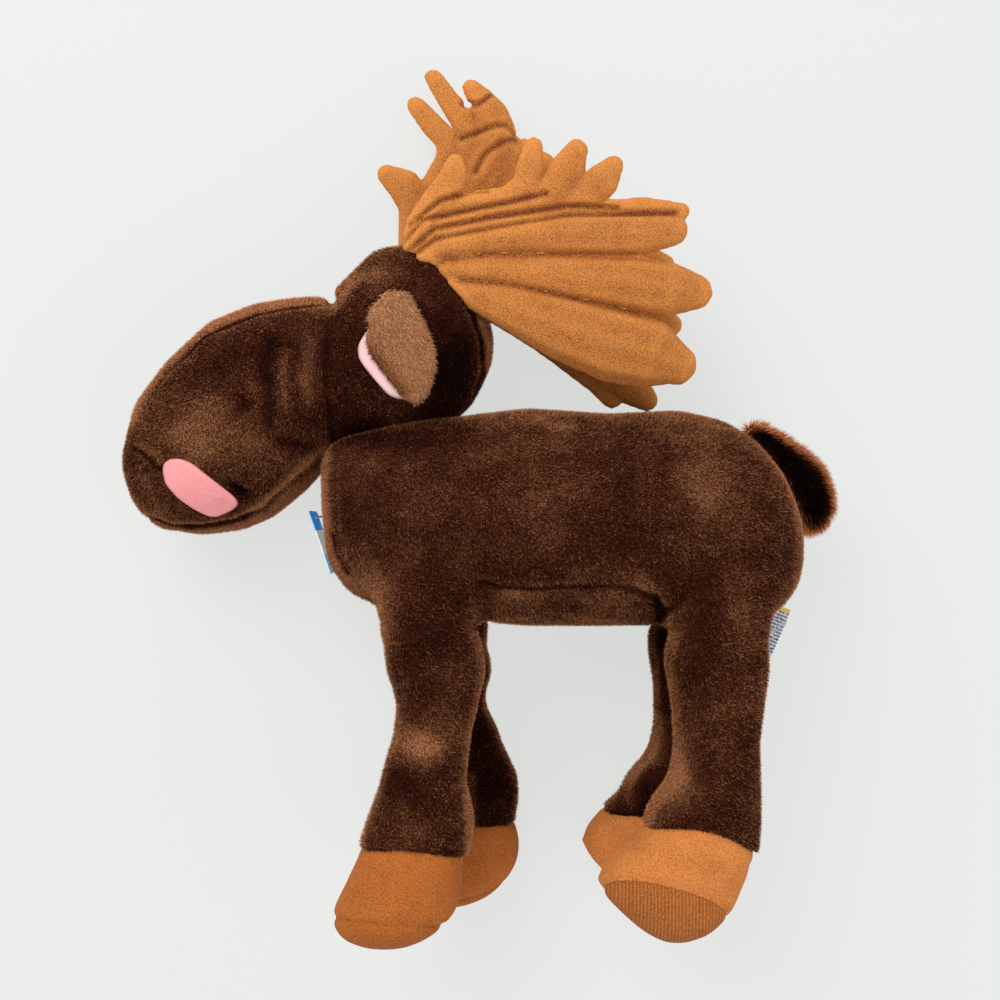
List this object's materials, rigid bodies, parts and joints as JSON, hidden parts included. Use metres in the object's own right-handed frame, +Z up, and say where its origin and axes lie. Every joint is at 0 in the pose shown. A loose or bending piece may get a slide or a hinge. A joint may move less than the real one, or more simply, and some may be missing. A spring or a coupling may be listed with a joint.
{
  "type": "plush moose",
  "caption": "Stuffed plush moose lying on its side: a filled body and head, four legs with soft hooves, folded ears, channelled antlers, a tail, a sewn label and a swing tag.",
  "frame": {"origin": "on the floor, under the middle of the toy's box as it lies on its right side", "axes": "+Z up from the floor, +Y from the hooves to the antlers, +X from the nose to the tail"},
  "size_m": [0.3244, 0.4058, 0.1035],
  "materials": {
    "plush": "short brown pile, matt",
    "long_plush": "longer brown pile, matt",
    "ear_plush": "short light brown pile, matt",
    "felt": "pink brushed felt, matt",
    "fleece": "tan brushed fleece, matt",
    "knit": "tan ribbed knit, matt",
    "filling": "white fibre wadding",
    "ribbon": "white woven satin ribbon",
    "card": "coated card, satin",
    "clear_plastic": "clear plastic strand"
  },
  "bodies": {
    "torso": {"torso_cover": "plush", "torso_filling": "filling", "tag_fastener": "clear_plastic"},
    "head": {"head_cover": "plush", "head_filling": "filling", "nostril_left": "felt", "nostril_right": "felt"},
    "ear_left": {"ear_left": "ear_plush", "ear_left_lining": "felt"},
    "ear_right": {"ear_right": "ear_plush", "ear_right_lining": "felt"},
    "antler_left": {"antler_left": "fleece"},
    "antler_right": {"antler_right": "fleece"},
    "tail": {"tail": "long_plush"},
    "label": {"sewn_label": "ribbon"},
    "tag": {"swing_tag": "card"},
    "leg_front_left": {"leg_front_left_cover": "plush", "leg_front_left_filling": "filling", "hoof_front_left": "fleece", "hoof_front_left_sole": "knit"},
    "leg_front_right": {"leg_front_right_cover": "plush", "leg_front_right_filling": "filling", "hoof_front_right": "fleece", "hoof_front_right_sole": "knit"},
    "leg_hind_left": {"leg_hind_left_cover": "plush", "leg_hind_left_filling": "filling", "hoof_hind_left": "fleece", "hoof_hind_left_sole": "knit"},
    "leg_hind_right": {"leg_hind_right_cover": "plush", "leg_hind_right_filling": "filling", "hoof_hind_right": "fleece", "hoof_hind_right_sole": "knit"}
  },
  "joints": [
    {"name": "head_nod", "type": "hinge", "parent": "torso", "child": "head", "pos_m": [-0.03342, 0.04104, 0.0435], "axis": [0, 0, 1], "range_deg": [-3, 5], "stiffness_Nm_per_rad": 0.3},
    {"name": "leg_front_left_swing", "type": "hinge", "parent": "torso", "child": "leg_front_left", "pos_m": [-0.02354, -0.05097, 0.0815], "axis": [0, 0, 1], "range_deg": [-12, 12], "stiffness_Nm_per_rad": 0.15},
    {"name": "leg_front_right_swing", "type": "hinge", "parent": "torso", "child": "leg_front_right", "pos_m": [-0.02354, -0.05097, 0.0215], "axis": [0, 0, 1], "range_deg": [-22, 2], "stiffness_Nm_per_rad": 0.15},
    {"name": "leg_hind_left_swing", "type": "hinge", "parent": "torso", "child": "leg_hind_left", "pos_m": [0.10601, -0.05097, 0.0815], "axis": [0, 0, 1], "range_deg": [-12, 12], "stiffness_Nm_per_rad": 0.15},
    {"name": "leg_hind_right_swing", "type": "hinge", "parent": "torso", "child": "leg_hind_right", "pos_m": [0.10601, -0.05097, 0.0215], "axis": [0, 0, 1], "range_deg": [-12, 12], "stiffness_Nm_per_rad": 0.15},
    {"name": "ear_left_swing", "type": "hinge", "parent": "head", "child": "ear_left", "pos_m": [-0.0368, 0.08469, 0.083], "axis": [0, 0, 1], "range_deg": [-15, 15], "stiffness_Nm_per_rad": 0.02},
    {"name": "ear_right_swing", "type": "hinge", "parent": "head", "child": "ear_right", "pos_m": [-0.0368, 0.08469, 0.004], "axis": [0, 0, 1], "range_deg": [-15, 15], "stiffness_Nm_per_rad": 0.02},
    {"name": "antler_left_bend", "type": "hinge", "parent": "head", "child": "antler_left", "pos_m": [-0.03122, 0.10125, 0.066], "axis": [0, 0, 1], "range_deg": [0, 12], "stiffness_Nm_per_rad": 0.05},
    {"name": "antler_right_bend", "type": "hinge", "parent": "head", "child": "antler_right", "pos_m": [-0.03122, 0.10125, 0.021], "axis": [0, 0, 1], "range_deg": [0, 12], "stiffness_Nm_per_rad": 0.05},
    {"name": "tail_lift", "type": "hinge", "parent": "torso", "child": "tail", "pos_m": [0.12164, 0.0238, 0.0515], "axis": [0, 0, 1], "range_deg": [0, 35], "stiffness_Nm_per_rad": 0.02},
    {"name": "label_flap", "type": "hinge", "parent": "torso", "child": "label", "pos_m": [0.13231, -0.05314, 0.0515], "axis": [-0.3907, -0.9205, 0], "range_deg": [-12, 12], "stiffness_Nm_per_rad": 0.004},
    {"name": "tag_swing", "type": "hinge", "parent": "torso", "child": "tag", "pos_m": [-0.078, -0.0152, 0.026], "axis": [0, 0, 1], "range_deg": [-25, 0]}
  ]
}
